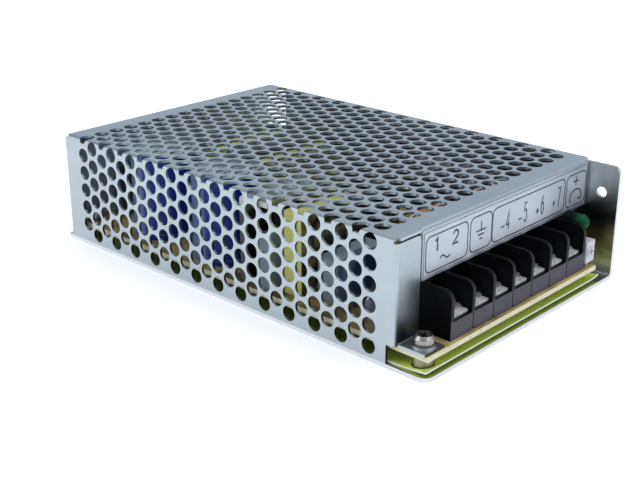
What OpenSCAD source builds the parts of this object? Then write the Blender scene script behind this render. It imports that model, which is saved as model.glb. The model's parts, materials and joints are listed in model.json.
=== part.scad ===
// Switching power supply in a mesh case: an L-shaped chassis, a folded perforated cover,
// a circuit board on spacers and a seven-way screw terminal block.
// Millimetres. +X points to the terminals, +Y to the solid chassis wall, +Z up.
// The origin is the centre of the underside.

/* [Chassis] */
// Length of the case along X
case_l = 159; // [158:1:166]
// Width of the case along Y
case_w = 97; // [96:1:101]
// Height of the case
case_h = 38; // [37.6:0.1:42]
// Thickness of the chassis sheet
chassis_t = 1.2; // [1:0.1:1.5]
// Diameter of the hole in the wall's front ear
ear_hole_d = 3.5; // [3:0.1:4.5]

/* [Cover] */
// Thickness of the cover sheet
cover_t = 0.8; // [0.6:0.1:1]
// Diameter of a hole of the mesh
mesh_d = 4.8; // [4:0.1:5]
// Columns of holes along X
mesh_columns = 26; // [20:1:26]
// Distance between two columns
mesh_pitch_x = 5.06; // [5:0.01:5.1]
// Distance between two holes of one column
mesh_pitch_y = 6.13; // [5.9:0.01:6.2]

/* [Terminal block] */
// Number of screw terminals
ways = 7; // [3:1:7]
// Distance between two terminals
way_pitch = 9.7; // [9.5:0.1:9.7]
// Height of the partitions above the board
partition_h = 14.5; // [14.5:0.1:16]
// Height of the block's base above the board
block_base_h = 5.5; // [5:0.1:5.5]

/* [Circuit board] */
// Height of the spacers under the board
spacer_h = 4; // [3.6:0.1:4]
// Thickness of the board
board_t = 1.6; // [1.2:0.1:1.6]
// Diameter of the two bulk capacitors
bulk_cap_d = 22; // [20:1:22]
// Outer diameter of the ring of the output choke
ring_d = 20; // [18:1:20]

/* [Hidden] */

eps = 0.01;
fine = 48;
front = case_l / 2;
side = case_w / 2;
board_bottom = chassis_t + spacer_h;
board_top = board_bottom + board_t;
// Height between the board and the cover
inner_h = case_h - cover_t - board_top;
// Case that the board's layout is drawn for; its places spread with the case
layout_l = 159;
layout_w = 97;
function at(x, y) = [x * case_l / layout_l, y * case_w / layout_w];

// Chassis
chassis_bend = 2;
corner_r = 3;
wall_h = case_h - cover_t;
ear_r = 2.5;
ear_hole_x = front - 5.7;
ear_hole_z = case_h - 9.9;
rear_notch_x = -front + 13.5;
rear_notch_z = case_h - 16;
foot_hole_x = front - 19.5;
foot_hole_y = side - 20.5;
wall_hole_x = front - 19.5;
tapped_r = 1.5;
wall_hole_z = 14;

// Cover: it ends short of the chassis at both ends
shelf = 11;
rear_margin = 2.7;
cover_front = front - shelf;
cover_rear = -front + rear_margin;
cover_l = cover_front - cover_rear;
cover_bend = 1.2;
mesh_first_x = cover_rear + 9.7;
mesh_last_x = cover_front - 6.5;
mesh_top_z = case_h - 2.7;
mesh_low_z = 4.6;
mesh_rows_side = floor((mesh_top_z - mesh_low_z) / mesh_pitch_y) + 1;
mesh_first_y = -side + 5.15;
mesh_last_y = side - 5.9;
mesh_rows_top = floor((mesh_last_y - mesh_first_y) / mesh_pitch_y) + 1;
fold_dip = 1.7;
band_z = board_top + partition_h + 1.6;
leg_w = 10.3;
leg_corner = 1.5;
band_left = -side + leg_w + 0.5;
leg_top = case_h - cover_bend - 0.2;
tab_l = 10.1;
side_foot_z = board_top + 0.2;
side_foot_x = 3;
rear_flange_z = board_top + 0.2;

// Flush screws that hold the cover to the chassis wall: place along X and height
flush_head_r = 2.75;
flush_head_l = 1.25;
cover_screw_at = [[cover_front - 5, case_h - 7], [cover_rear + 6.5, wall_hole_z]];
lip_l = 8;
lip_h = 9;
lip_face = side - chassis_t - 0.1;
wall_in = side - chassis_t;

// Board and its supports; the first of the four screws also holds the cover's tab
board_rear = -front + 5;
board_front = front - 1.2;
board_left = -side + 2;
board_right = side - 8.9;
sheet_t = 0.5;
spacer_d = 5.6;
thread_r = 1.5;
bore_play = 0.05;
pan_d = 5.8;
pan_h = 2.2;
spring_washer_d = 5.9;
spring_washer_t = 0.8;
plain_washer_d = 6.5;
plain_washer_t = 0.5;
board_screw_l = 6;

// Terminal block
block_front = front - 2.5;
block_depth = 16;
block_rear = block_front - block_depth;
screw_at = [[front - 5.5, -side + 5.7], [-front + 8.5, -side + 5.7], [-front + 8.5, side - 14],
            [block_rear - 3.8, side - 13]];
block_wall = 1.3;
block_left = -side + 13.5;
block_w = ways * way_pitch + block_wall;
block_right = block_left + block_w;
block_corner = 2.8;
base_top = board_top + block_base_h;
contact_t = 0.8;
contact_w = way_pitch - block_wall - 0.6;
contact_front = block_front - 1.3;
contact_l = 12.5;
contact_top = base_top + contact_t;
clamp_w = contact_w - 0.4;
clamp_l = 7.2;
clamp_t = 0.9;
seat_gap = 0.05;
clamp_bottom = contact_top + seat_gap;
head_bottom = clamp_bottom + clamp_t + seat_gap;
head_d = clamp_w - 0.8;
head_h = 2.6;
terminal_thread_r = 1.7;
terminal_screw_x = block_front - 6.9;
terminal_screw_end = board_top + 1.6;

// Trimmer and lamp at the right end of the block
trimmer_front = block_front + 0.3;
trimmer_y = block_right + 3;
trimmer_w = 4.6;
trimmer_h = 7;
trimmer_d = 4;
trimmer_z = board_top + 1.5;
pin_pitch = 1.5;
rotor_r = 1.7;
rotor_bore = 1.75;
rotor_t = 1.5;
lamp_r = 2.5;
lamp_l = 4.2;
lamp_rear = cover_front + 0.5;
lamp_lead_l = 3.1;
lamp_y = block_right + 3.2;
lamp_z = board_top + 13.8;
lamp_pitch = 2.54;

// Parts on the board: places are [x, y] on the board's top
bulk_cap_h = inner_h - 1.2;
bulk_cap_at = [at(-45, -32), at(-13.5, -33)];
transformer_at = at(-25, 0);
core_l = 34;
core_w = 33;
core_leg = 6;
core_back = 6.5;
core_middle = 12;
bobbin_z = 1.2;
core_h = inner_h - bobbin_z - 2.2;
winding_play = 0.1;
heatsink_at = at(5.4, -33);
heatsink_w = 24;
heatsink_h = inner_h - 2.4;
heatsink_t = 1.8;
heatsink_r = 2;
heatsink_top = 12;
transistor_y = heatsink_at[1] + 5.5;
transistor_z = board_top + 4;
package_w = 10;
package_t = 4.5;
package_h = 9.5;
package_tab_h = 15.5;
package_tab_t = 1.3;
package_hole_z = 12.6;
package_hole_r = 1.8;
lead_pitch = 2.54;
lead_w = 0.8;
yellow_cap = [7, 22, inner_h - 4.4];
yellow_cap_at = at(24.5, -31);
grey_cap_small = [5.6, 9.5, 16.6];
grey_cap_small_at = at(14.3, -39.5);
grey_cap_large = [7.5, 21, 13.3];
grey_cap_large_at = at(34.8, -27.7);
varistor_at = at(43.2, -33.5);
varistor_r = 7;
varistor_t = 3.6;
varistor_z = 3.5;
output_cap_r = 5.1;
output_cap_h = 23;
output_cap_x = block_rear - 10.5;
output_cap_y = [at(0, -13)[1], at(0, 18.5)[1]];
output_cap_at = [[output_cap_x, output_cap_y[0]],
                 [output_cap_x, output_cap_y[0] + 2 * output_cap_r + 1.3],
                 [output_cap_x, output_cap_y[1]],
                 [output_cap_x - 1, output_cap_y[1] + 2 * output_cap_r + 0.8]];
thermistor_at = [output_cap_x - 9, at(0, -11)[1]];
thermistor_r = 4.5;
thermistor_t = 4;
thermistor_z = 3;
fuse_at = [block_rear - 8, at(0, -30)[1]];
fuse_l = 20;
fuse_r = 2.6;
fuse_z = board_top + 4.2;
clip_w = 3;
clip_t = 0.5;
filter_core = [6, 22, 19];
filter_window = [12, 10];
filter_coil_t = 2;
filter_choke_at = [at(18.8, 0)[0], yellow_cap_at[1] + (yellow_cap[1] + filter_core[1]) / 2 + 4];
bridge = [3.5, 22, 16];
bridge_z = 3;
bridge_at = at(-67, -24);
bridge_pitch = 5.08;
ring_at = [output_cap_x - 12, at(0, 7)[1]];
ring_w = 4.6;
ring_wire = 1.2;
ring_play = 0.05;
ring_turns = 20;
core_r = ring_d / 2 - ring_wire - ring_play;
core_bore_r = core_r - 2.4;
ring_outer = core_r + ring_play + ring_wire;
rectifier_x = [at(8, 0)[0], at(26, 0)[0]];
rectifier_z = board_top + 13.2;
pad = [14, 0.3, 20];
nut_d = 6.35;
nut_t = 2.4;
small_cap_r = 4;
small_cap_h = 12;
small_cap_at = [at(-60, -2), at(-61, 10), at(-2, 28), at(8, -14)];
chip = [9.4, 6.4, 3.3];
chip_z = 0.6;
chip_pin = [0.8, 0.5, 2.2];
chip_at = [at(-62, 26), at(-46, 28), at(3, 17)];
resistor_l = 9;
resistor_r = 1.6;
resistor_cap_r = 1.9;
resistor_cap_l = 2;
resistor_at = [at(-55, 18), at(-50, 18), at(-10, 31), at(16, 15)];
film_cap = [4.4, 10, 9];
film_cap_at = [block_rear - 2.8, at(0, 8)[1]];

function mesh_x(c) = mesh_first_x + mesh_pitch_x * c;
function way_y(k) = block_left + block_wall / 2 + way_pitch * (k + 0.5);
function odd(c) = c % 2;

// Quarter of a bent sheet's edge: outer radius r, thickness t, in the corner at the origin
module bend_section(r, t) {
  difference() {
    intersection() {
      circle(r = r, $fn = fine);
      translate([-r, 0]) square([r, r]);
    }
    circle(r = r - t, $fn = fine);
  }
}

// A bar with its length along X from a section drawn in the YZ plane
module along_x(x, l) {
  translate([x, 0, 0]) rotate([90, 0, 90]) linear_extrude(l) children();
}

// A plate standing in the XZ plane between y - t and y
module upright(y, t) {
  translate([0, y, 0]) rotate([90, 0, 0]) linear_extrude(t) children();
}

// Cross recess of a screw, cut from z = 0 downwards
module cross_recess(size, depth) {
  for (a = [0, 90])
    rotate([0, 0, a]) translate([-size / 2, -size / 9, -depth]) cube([size, size / 4.5, depth + 1]);
}

// Pan head screw, its head's underside at z = 0
module pan_screw(head, height, r, length) {
  difference() {
    union() {
      cylinder(d = head, h = height * 0.55, $fn = fine);
      translate([0, 0, height * 0.55]) cylinder(d1 = head, d2 = head * 0.78, h = height * 0.45, $fn = fine);
      translate([0, 0, -length]) cylinder(r = r, h = length + eps, $fn = fine);
    }
    translate([0, 0, height]) cross_recess(head * 0.6, height * 0.6);
  }
}

// Countersunk screw along -Y, its head flush with the outer face of the wall
module flush_screw(x, z, length) {
  translate([x, side, z]) rotate([90, 0, 0]) difference() {
    union() {
      cylinder(r1 = flush_head_r, r2 = thread_r, h = flush_head_l, $fn = fine);
      cylinder(r = thread_r, h = length, $fn = fine);
    }
    mirror([0, 0, 1]) cross_recess(3, 0.8);
  }
}

// The hole that a flush screw needs in the wall
module flush_hole(x, z) {
  translate([x, side + eps, z]) rotate([90, 0, 0]) {
    cylinder(r1 = flush_head_r + bore_play, r2 = thread_r + bore_play, h = flush_head_l, $fn = fine);
    cylinder(r = thread_r + bore_play, h = chassis_t + 1, $fn = fine);
  }
}

module chassis_floor() {
  square_l = case_l - corner_r;
  translate([-front, -side + corner_r]) square([case_l, case_w - corner_r - chassis_bend]);
  translate([-front + 1, -side]) square([square_l - 1, corner_r + eps]);
  translate([-front + 1, -side + 1]) circle(r = 1, $fn = fine);
  translate([-front, -side + 1]) square([corner_r, corner_r]);
  translate([front - corner_r, -side + corner_r]) circle(r = corner_r, $fn = fine);
}

module chassis_wall() {
  difference() {
    union() {
      translate([-front, chassis_bend]) square([case_l, rear_notch_z - chassis_bend]);
      translate([rear_notch_x, chassis_bend]) square([front - rear_notch_x, wall_h - chassis_bend - ear_r]);
      translate([rear_notch_x, wall_h - ear_r - eps]) square([front - rear_notch_x - ear_r, ear_r + eps]);
      translate([front - ear_r, wall_h - ear_r]) circle(r = ear_r, $fn = fine);
    }
    translate([ear_hole_x, ear_hole_z]) circle(d = ear_hole_d, $fn = fine);
    for (x = [-wall_hole_x, wall_hole_x])
      translate([x, wall_hole_z]) circle(r = tapped_r, $fn = fine);
  }
}

module chassis() {
  color("silver") difference() {
    union() {
      linear_extrude(chassis_t) chassis_floor();
      upright(side, chassis_t) chassis_wall();
      along_x(-front, case_l)
        translate([side - chassis_bend, chassis_bend]) rotate(180) bend_section(chassis_bend, chassis_t);
    }
    for (x = [-foot_hole_x, foot_hole_x])
      for (y = [-foot_hole_y, foot_hole_y])
        translate([x, y, -1]) cylinder(r = tapped_r, h = chassis_t + 2, $fn = fine);
    for (p = cover_screw_at) flush_hole(p[0], p[1]);
    for (x = rectifier_x) flush_hole(x, rectifier_z);
  }
}

module cover_sheet() {
  upright(-side + cover_t, cover_t)
    translate([cover_rear, chassis_t]) square([cover_l - cover_bend, case_h - chassis_t - cover_bend]);
  along_x(cover_rear + cover_bend, cover_l - 2 * cover_bend)
    translate([-side + cover_bend, case_h - cover_bend]) bend_section(cover_bend, cover_t);
  translate([cover_rear + cover_bend, -side + cover_bend, case_h - cover_t])
    cube([cover_l - 2 * cover_bend, case_w - cover_bend, cover_t]);
}

// The holes stand in staggered columns that run round the fold: the last hole of an odd
// column on the side reaches into the fold, and the first of an even one dips over it.
// A shorter cover has fewer columns.
module mesh_holes() {
  for (c = [0:mesh_columns - 1]) if (mesh_x(c) <= mesh_last_x) {
    for (r = [0:mesh_rows_side - 2 + odd(c)])
      translate([mesh_x(c), -side - 1, mesh_top_z - mesh_pitch_y * (r + (1 - odd(c)) / 2)])
        rotate([-90, 0, 0]) cylinder(d = mesh_d, h = cover_t + 1.6, $fn = fine);
    for (r = [0:mesh_rows_top - odd(c)])
      translate([mesh_x(c), mesh_first_y + mesh_pitch_y * (r - (1 - odd(c)) / 2), case_h - fold_dip])
        cylinder(d = mesh_d, h = fold_dip + 1, $fn = fine);
  }
}

// Fold along Y between the top and a flange at one end; turn 0 faces the rear, -90 the front
module end_fold(x, y0, y1, turn) {
  translate([x, y1, case_h - cover_bend]) rotate([90, 0, 0])
    linear_extrude(y1 - y0) rotate(turn) bend_section(cover_bend, cover_t);
}

// Band over the terminals, folded down from the top
module front_band() {
  right = wall_in - 0.3;
  translate([cover_front - cover_t, band_left, band_z])
    cube([cover_t, right - band_left, case_h - cover_bend - band_z]);
  end_fold(cover_front - cover_bend, band_left, right, -90);
  translate([cover_front - cover_bend, -side + cover_bend + 0.4, case_h - cover_t])
    cube([cover_bend, band_left + side - cover_bend - 0.8, cover_t]);
}

// Leg folded round from the side, with the tab that the first board screw holds
module front_leg() {
  leg_right = -side + leg_w;
  tab_left = -side + 1.3;
  tab_right = leg_right - 0.6;
  leg_x = cover_front - cover_t;
  foot = board_top + cover_bend;
  translate([cover_front - cover_bend, -side + cover_bend, side_foot_z])
    linear_extrude(leg_top - side_foot_z) rotate(180) bend_section(cover_bend, cover_t);
  translate([leg_x, -side + cover_bend, foot])
    cube([cover_t, leg_w - cover_bend, leg_top - foot - leg_corner]);
  translate([leg_x, -side + cover_bend, foot])
    cube([cover_t, leg_w - cover_bend - leg_corner, leg_top - foot]);
  translate([leg_x, leg_right - leg_corner, leg_top - leg_corner]) rotate([0, 90, 0])
    cylinder(r = leg_corner, h = cover_t, $fn = fine);
  translate([leg_x + cover_bend, tab_right, foot]) rotate([90, 0, 0])
    linear_extrude(tab_right - tab_left) rotate(90) bend_section(cover_bend, cover_t);
  difference() {
    translate([leg_x + cover_bend, tab_left, board_top])
      cube([tab_l - cover_bend, tab_right - tab_left, cover_t]);
    translate([screw_at[0][0], screw_at[0][1], board_top - 1])
      cylinder(r = thread_r + 0.2, h = cover_t + 2, $fn = fine);
  }
}

module rear_flange() {
  left = -side + cover_t + 0.3;
  translate([cover_rear, left, rear_flange_z])
    cube([cover_t, lip_face - left, case_h - cover_bend - rear_flange_z]);
  end_fold(cover_rear + cover_bend, -side + cover_bend, lip_face, 0);
}

// Lips against the inside of the chassis wall, each with a threaded hole
module cover_lip(x0, l, z0, h, screw) {
  difference() {
    translate([x0, lip_face - cover_t, z0]) cube([l, cover_t, h]);
    translate([screw[0], lip_face + 1, screw[1]]) rotate([90, 0, 0])
      cylinder(r = thread_r + bore_play, h = cover_t + 2, $fn = fine);
  }
}

module mesh_cover() {
  color("lightsteelblue") {
    difference() {
      cover_sheet();
      mesh_holes();
      translate([cover_front - side_foot_x, -side - 1, 0]) cube([side_foot_x + 1, 3, side_foot_z]);
    }
    front_band();
    front_leg();
    rear_flange();
    cover_lip(cover_screw_at[0][0] - lip_l / 2, lip_l, case_h - lip_h, lip_h - eps, cover_screw_at[0]);
    cover_lip(cover_rear + cover_t - eps, lip_l + 2, wall_hole_z - lip_h / 2, lip_h, cover_screw_at[1]);
  }
}

module cover_screws() {
  color("gainsboro") for (p = cover_screw_at) flush_screw(p[0], p[1], 4.5);
}

// Board stack: sheet on the chassis floor, spacers through it, board, washers, screws

module insulating_sheet() {
  color("olivedrab") difference() {
    translate([board_rear - 0.5, -side + 1.5, chassis_t])
      cube([board_front - board_rear + 0.4, case_w - 8, sheet_t]);
    for (p = screw_at) translate([p[0], p[1], 0]) cylinder(d = spacer_d + 1.6, h = 4, $fn = fine);
    for (x = [-foot_hole_x, foot_hole_x], y = [-foot_hole_y, foot_hole_y])
      translate([x, y, 0]) cylinder(r = tapped_r + 2, h = 4, $fn = fine);
  }
}

module board_spacers() {
  color("silver") for (p = screw_at) translate([p[0], p[1], chassis_t]) difference() {
    cylinder(d = spacer_d, h = spacer_h, $fn = fine);
    translate([0, 0, 0.4]) cylinder(r = thread_r + bore_play, h = spacer_h, $fn = fine);
  }
}

module circuit_board() {
  color("tan") difference() {
    translate([board_rear, board_left, board_bottom])
      cube([board_front - board_rear, board_right - board_left, board_t]);
    for (p = screw_at)
      translate([p[0], p[1], board_bottom - 1]) cylinder(r = thread_r + 0.2, h = board_t + 2, $fn = fine);
  }
}

// Places what lies z above the board, or above the tab at the first screw, at each screw
module at_screws(z) {
  for (k = [0:len(screw_at) - 1])
    translate([screw_at[k][0], screw_at[k][1], board_top + (k == 0 ? cover_t : 0) + z])
      rotate([0, 0, 35 * k]) children();
}

module plain_washers() {
  color("silver") at_screws(0) difference() {
    cylinder(d = plain_washer_d, h = plain_washer_t, $fn = fine);
    translate([0, 0, -1]) cylinder(r = thread_r + 0.15, h = 3, $fn = fine);
  }
}

// Split rings
module spring_washers() {
  color("gray") at_screws(plain_washer_t) difference() {
    cylinder(d = spring_washer_d, h = spring_washer_t, $fn = fine);
    translate([0, 0, -1]) cylinder(r = thread_r + 0.1, h = 3, $fn = fine);
    rotate([0, 0, 200]) translate([0, -0.15, -1]) cube([spring_washer_d, 0.3, 3]);
  }
}

module board_screws() {
  color("gainsboro") at_screws(plain_washer_t + spring_washer_t)
    pan_screw(pan_d, pan_h, thread_r, board_screw_l);
}

// Terminal block

module partition_outline() {
  w = block_depth;
  square([w, partition_h - block_corner]);
  square([w - block_corner, partition_h]);
  translate([w - block_corner, partition_h - block_corner]) circle(r = block_corner, $fn = fine);
}

module terminal_block() {
  color("dimgray") difference() {
    union() {
      translate([block_rear, block_left, board_top]) cube([block_depth, block_w, block_base_h]);
      translate([block_rear, block_left, board_top]) cube([block_wall, block_w, partition_h]);
      for (k = [0:ways])
        translate([block_rear, block_left + k * way_pitch + block_wall, board_top]) rotate([90, 0, 0])
          linear_extrude(block_wall) partition_outline();
    }
    for (k = [0:ways - 1])
      translate([terminal_screw_x, way_y(k), board_top + 1]) cylinder(r = 2.4, h = block_base_h, $fn = fine);
    // moulded joints between the segments, open at the board
    for (k = [1:ways - 1])
      translate([block_front - 0.25, block_left + k * way_pitch + block_wall / 2, board_top - 1]) {
        translate([0, -0.15, 0]) cube([1, 0.3, block_base_h + 1]);
        translate([-0.6, -0.8, 0]) cube([2, 1.6, 1.5]);
      }
  }
}

module terminal_contacts() {
  color("silver") for (k = [0:ways - 1]) difference() {
    union() {
      translate([contact_front - contact_l, way_y(k) - contact_w / 2, base_top])
        cube([contact_l, contact_w, contact_t]);
      translate([terminal_screw_x, way_y(k), base_top - 1.4]) cylinder(r = 2.35, h = 1.5, $fn = fine);
    }
    translate([terminal_screw_x, way_y(k), base_top - 2])
      cylinder(r = terminal_thread_r + bore_play, h = 4, $fn = fine);
  }
}

// Square clamp plate that the screw carries, its front and rear edges turned down a little
module terminal_clamp(k) {
  color("gainsboro") translate([terminal_screw_x, way_y(k), clamp_bottom]) difference() {
    translate([-clamp_l / 2, -clamp_w / 2, 0]) cube([clamp_l, clamp_w, clamp_t]);
    translate([0, 0, -1]) cylinder(r = terminal_thread_r + bore_play, h = 3, $fn = fine);
    for (x = [-1, 1])
      translate([x * clamp_l / 2, 0, clamp_t]) rotate([0, 45, 0]) cube([0.8, clamp_w + 1, 0.8], center = true);
  }
}

module terminal_screw(k) {
  length = head_bottom - terminal_screw_end;
  color("silver") translate([terminal_screw_x, way_y(k), head_bottom]) rotate([0, 0, 15 + 37 * k])
    pan_screw(head_d, head_h, terminal_thread_r, length);
}

// Trimmer: body with a round window towards the front, three pins, and the rotor in it
module trimmer_body() {
  color("lavender") {
    difference() {
      translate([trimmer_front - trimmer_d, trimmer_y - trimmer_w / 2, trimmer_z])
        cube([trimmer_d, trimmer_w, trimmer_h]);
      translate([trimmer_front - 1.2, trimmer_y, trimmer_z + trimmer_h / 2]) rotate([0, 90, 0])
        cylinder(r = rotor_bore, h = 3, $fn = fine);
    }
    for (y = [-pin_pitch, 0, pin_pitch])
      translate([trimmer_front - 1.4 - abs(y), trimmer_y + y - 0.3, board_top])
        cube([0.5, 0.6, trimmer_z - board_top + 0.1]);
  }
}

module trimmer_rotor() {
  color("gainsboro") translate([trimmer_front - 1.15, trimmer_y, trimmer_z + trimmer_h / 2]) rotate([0, 90, 0])
    difference() {
      cylinder(r = rotor_r, h = rotor_t, $fn = fine);
      translate([0, 0, rotor_t]) cross_recess(2.5, 0.7);
    }
}

// Lamp in front of the band, its leads bent down to the board behind it
module indicator_lamp() {
  color("darkgreen") {
    translate([lamp_rear, lamp_y, lamp_z]) rotate([0, 90, 0]) {
      cylinder(r = lamp_r + 0.4, h = 1, $fn = fine);
      cylinder(r = lamp_r, h = lamp_l, $fn = fine);
      translate([0, 0, lamp_l]) sphere(r = lamp_r, $fn = fine);
    }
    for (s = [-1, 1]) translate([lamp_rear - lamp_lead_l, lamp_y + s * lamp_pitch / 2 - 0.25, 0]) {
      translate([0, 0, lamp_z - 0.25]) cube([lamp_lead_l + 0.1, 0.5, 0.5]);
      translate([0, 0, board_top]) cube([0.5, 0.5, lamp_z - board_top]);
    }
  }
}

// Parts on the board

// Electrolytic can: sleeved cylinder with the crimp near its foot and a sunk top
module can(r, h) {
  rotate_extrude($fn = 64) difference() {
    union() {
      square([r - 0.5, h]);
      translate([0, 0.5]) square([r, h - 1]);
      for (z = [0.5, h - 0.5]) translate([r - 0.5, z]) circle(r = 0.5, $fn = fine);
    }
    translate([0, h - 0.4]) square([r - 1.2, 1]);
    translate([r + 0.25, 2.6]) circle(r = 0.7, $fn = fine);
  }
}

module bulk_capacitor(k) {
  color("mediumblue") translate([bulk_cap_at[k][0], bulk_cap_at[k][1], board_top])
    can(bulk_cap_d / 2, bulk_cap_h);
}

// E core: a back below and one above, joined by two outer legs outside the winding
module transformer_core() {
  color([0.12, 0.12, 0.13]) translate([transformer_at[0], transformer_at[1], board_top + bobbin_z]) {
    for (z = [0, core_h - core_back])
      translate([-core_middle / 2, -core_w / 2, z]) cube([core_middle, core_w, core_back]);
    for (y = [-core_w / 2, core_w / 2 - core_leg])
      translate([-core_middle / 2, y, 0]) cube([core_middle, core_leg, core_h]);
    cylinder(d = core_middle - 1, h = core_h, $fn = fine);
  }
}

// Bobbin and taped winding round the middle leg; it bulges past the core at both ends
module transformer_winding() {
  window_w = core_w - 2 * core_leg - 2 * winding_play;
  window_h = core_h - 2 * core_back - 2 * winding_play;
  end_x = core_middle / 2 + winding_play;
  color("gold") translate([transformer_at[0], transformer_at[1], board_top]) difference() {
    union() {
      translate([-core_l / 2, -window_w / 2, bobbin_z + core_back + winding_play])
        cube([core_l, window_w, window_h]);
      for (m = [0, 1])
        mirror([m, 0, 0]) translate([end_x, -core_w / 2 + 1, 0])
          cube([core_l / 2 - end_x, core_w - 2, core_h - 0.5]);
    }
    cylinder(d = core_middle - 1 + 2 * winding_play, h = core_h + 4, $fn = fine);
  }
}

// Aluminium plate across the board with its top turned forward
module primary_heatsink() {
  color("lightgray") translate([heatsink_at[0], heatsink_at[1] - heatsink_w / 2, board_top]) {
    cube([heatsink_t, heatsink_w, heatsink_h - heatsink_r]);
    translate([heatsink_r, 0, heatsink_h - heatsink_t])
      cube([heatsink_top - heatsink_r, heatsink_w, heatsink_t]);
    translate([heatsink_r, heatsink_w, heatsink_h - heatsink_r]) rotate([90, 0, 0])
      linear_extrude(heatsink_w) bend_section(heatsink_r, heatsink_t);
  }
}

// Plastic power package: body on a thin tab with its screw hole
module package() {
  color([0.1, 0.1, 0.11]) {
    translate([-package_w / 2, 0, 0]) cube([package_w, package_t, package_h]);
    difference() {
      translate([-package_w / 2, 0, package_h - eps])
        cube([package_w, package_tab_t, package_tab_h - package_h]);
      translate([0, -1, package_hole_z]) rotate([-90, 0, 0]) cylinder(r = package_hole_r, h = 4, $fn = fine);
    }
  }
}

// Three bars side by side at the lead pitch, each l long along Y and h high
module package_leads(l, h) {
  color("silver") for (k = [-1, 0, 1])
    translate([k * lead_pitch - lead_w / 2, 0, 0]) cube([lead_w, l, h]);
}

module power_transistor() {
  legs = transistor_z - board_top;
  translate([heatsink_at[0] + heatsink_t, transistor_y, transistor_z]) rotate([0, 0, -90]) {
    package();
    translate([0, 2.4, -legs]) package_leads(0.6, legs + eps);
  }
}

module box_cap(size, at) {
  translate([at[0] - size[0] / 2, at[1] - size[1] / 2, board_top]) cube(size);
}

module yellow_capacitor() {
  color("khaki") box_cap(yellow_cap, yellow_cap_at);
}

module grey_capacitors() {
  color("slategray") {
    box_cap(grey_cap_small, grey_cap_small_at);
    box_cap(grey_cap_large, grey_cap_large_at);
  }
}

// Dipped disc on two leads, flat towards +X
module disc_part(at, r, t, z) {
  translate([at[0] - t / 2, at[1], board_top + z + r]) rotate([0, 90, 0]) rotate_extrude($fn = fine) {
    square([r - t / 2, t]);
    translate([r - t / 2, t / 2]) circle(r = t / 2, $fn = fine);
  }
  for (y = [-2.5, 2.5]) translate([at[0] - 0.3, at[1] + y - 0.3, board_top]) cube([0.6, 0.6, z + r / 2]);
}

module varistor() {
  color("royalblue") disc_part(varistor_at, varistor_r, varistor_t, varistor_z);
}

module thermistor() {
  color("darkslategray") disc_part(thermistor_at, thermistor_r, thermistor_t, thermistor_z);
}

module fuse() {
  color("lightcyan") translate([fuse_at[0], fuse_at[1] - fuse_l / 2, fuse_z]) rotate([-90, 0, 0])
    cylinder(r = fuse_r, h = fuse_l, $fn = fine);
}

// Two spring clips that hold the fuse by its ends
module fuse_clips() {
  color("silver") for (s = [-1, 1]) translate([fuse_at[0], fuse_at[1] + s * (fuse_l / 2 - 2.5), 0]) difference() {
    union() {
      translate([-2, -clip_w / 2, board_top]) cube([4, clip_w, 2]);
      translate([0, -clip_w / 2, fuse_z]) rotate([-90, 0, 0])
        cylinder(r = fuse_r + clip_t, h = clip_w, $fn = fine);
    }
    translate([0, -5, fuse_z]) rotate([-90, 0, 0]) cylinder(r = fuse_r, h = 10, $fn = fine);
    translate([-1.6, -5, fuse_z]) cube([3.2, 10, 10]);
  }
}

// Filter choke: a square ring core that stands up, a winding on each upright
module filter_choke_core() {
  color([0.15, 0.15, 0.16]) translate([filter_choke_at[0], filter_choke_at[1], board_top]) difference() {
    translate([-filter_core[0] / 2, -filter_core[1] / 2, 0]) cube(filter_core);
    translate([-filter_core[0], -filter_window[0] / 2, (filter_core[2] - filter_window[1]) / 2])
      cube([2 * filter_core[0], filter_window[0], filter_window[1]]);
  }
}

module filter_choke_windings() {
  upright_w = (filter_core[1] - filter_window[0]) / 2;
  upright_y = (filter_core[1] + filter_window[0]) / 4;
  bore = [filter_core[0] + 2 * winding_play, upright_w + 2 * winding_play];
  coil = [bore[0] + 2 * filter_coil_t, bore[1] + 2 * filter_coil_t];
  h = filter_window[1] - 2 * winding_play;
  color("sienna") for (s = [-1, 1])
    translate([filter_choke_at[0], filter_choke_at[1] + s * upright_y, board_top + (filter_core[2] - h) / 2])
      linear_extrude(h) difference() {
        square(coil, center = true);
        square(bore, center = true);
      }
}

module bridge_rectifier() {
  color([0.13, 0.13, 0.14]) translate([bridge_at[0], bridge_at[1], board_top]) {
    translate([-bridge[0] / 2, -bridge[1] / 2, bridge_z]) cube(bridge);
    for (k = [-1.5:1:1.5])
      translate([-0.35, k * bridge_pitch - 0.5, 0]) cube([0.7, 1, bridge_z + 0.1]);
  }
}

// Output choke: an upright ring wound with thick copper wire
module ring_place() {
  translate([ring_at[0], ring_at[1], board_top + ring_outer]) rotate([0, 90, 0]) children();
}

module output_choke_ring() {
  color("darkkhaki") ring_place() difference() {
    cylinder(r = core_r, h = ring_w, center = true, $fn = 64);
    cylinder(r = core_bore_r, h = ring_w + 1, center = true, $fn = 64);
  }
}

module output_choke_winding() {
  radial = core_r - core_bore_r + 2 * ring_play;
  color("orangered") ring_place() for (k = [0:ring_turns - 1])
    rotate([0, 0, k * 360 / ring_turns]) translate([(core_r + core_bore_r) / 2, 0, 0]) rotate([90, 0, 0])
      linear_extrude(ring_wire, center = true) difference() {
        square([radial + 2 * ring_wire, ring_w + 2 * ring_play + 2 * ring_wire], center = true);
        square([radial, ring_w + 2 * ring_play], center = true);
      }
}

module output_capacitors() {
  color("midnightblue") for (p = output_cap_at)
    translate([p[0], p[1], board_top]) can(output_cap_r, output_cap_h);
}

// The rectifiers stand against the wall, their leads bent forward along the board's top
module output_rectifiers() {
  rise = rectifier_z - package_hole_z - board_top;
  for (x = rectifier_x) translate([x, wall_in - pad[1], board_top + rise]) {
    rotate([0, 0, 180]) package();
    translate([0, -9.5, -rise]) package_leads(7.1, rise + eps);
  }
}

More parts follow.
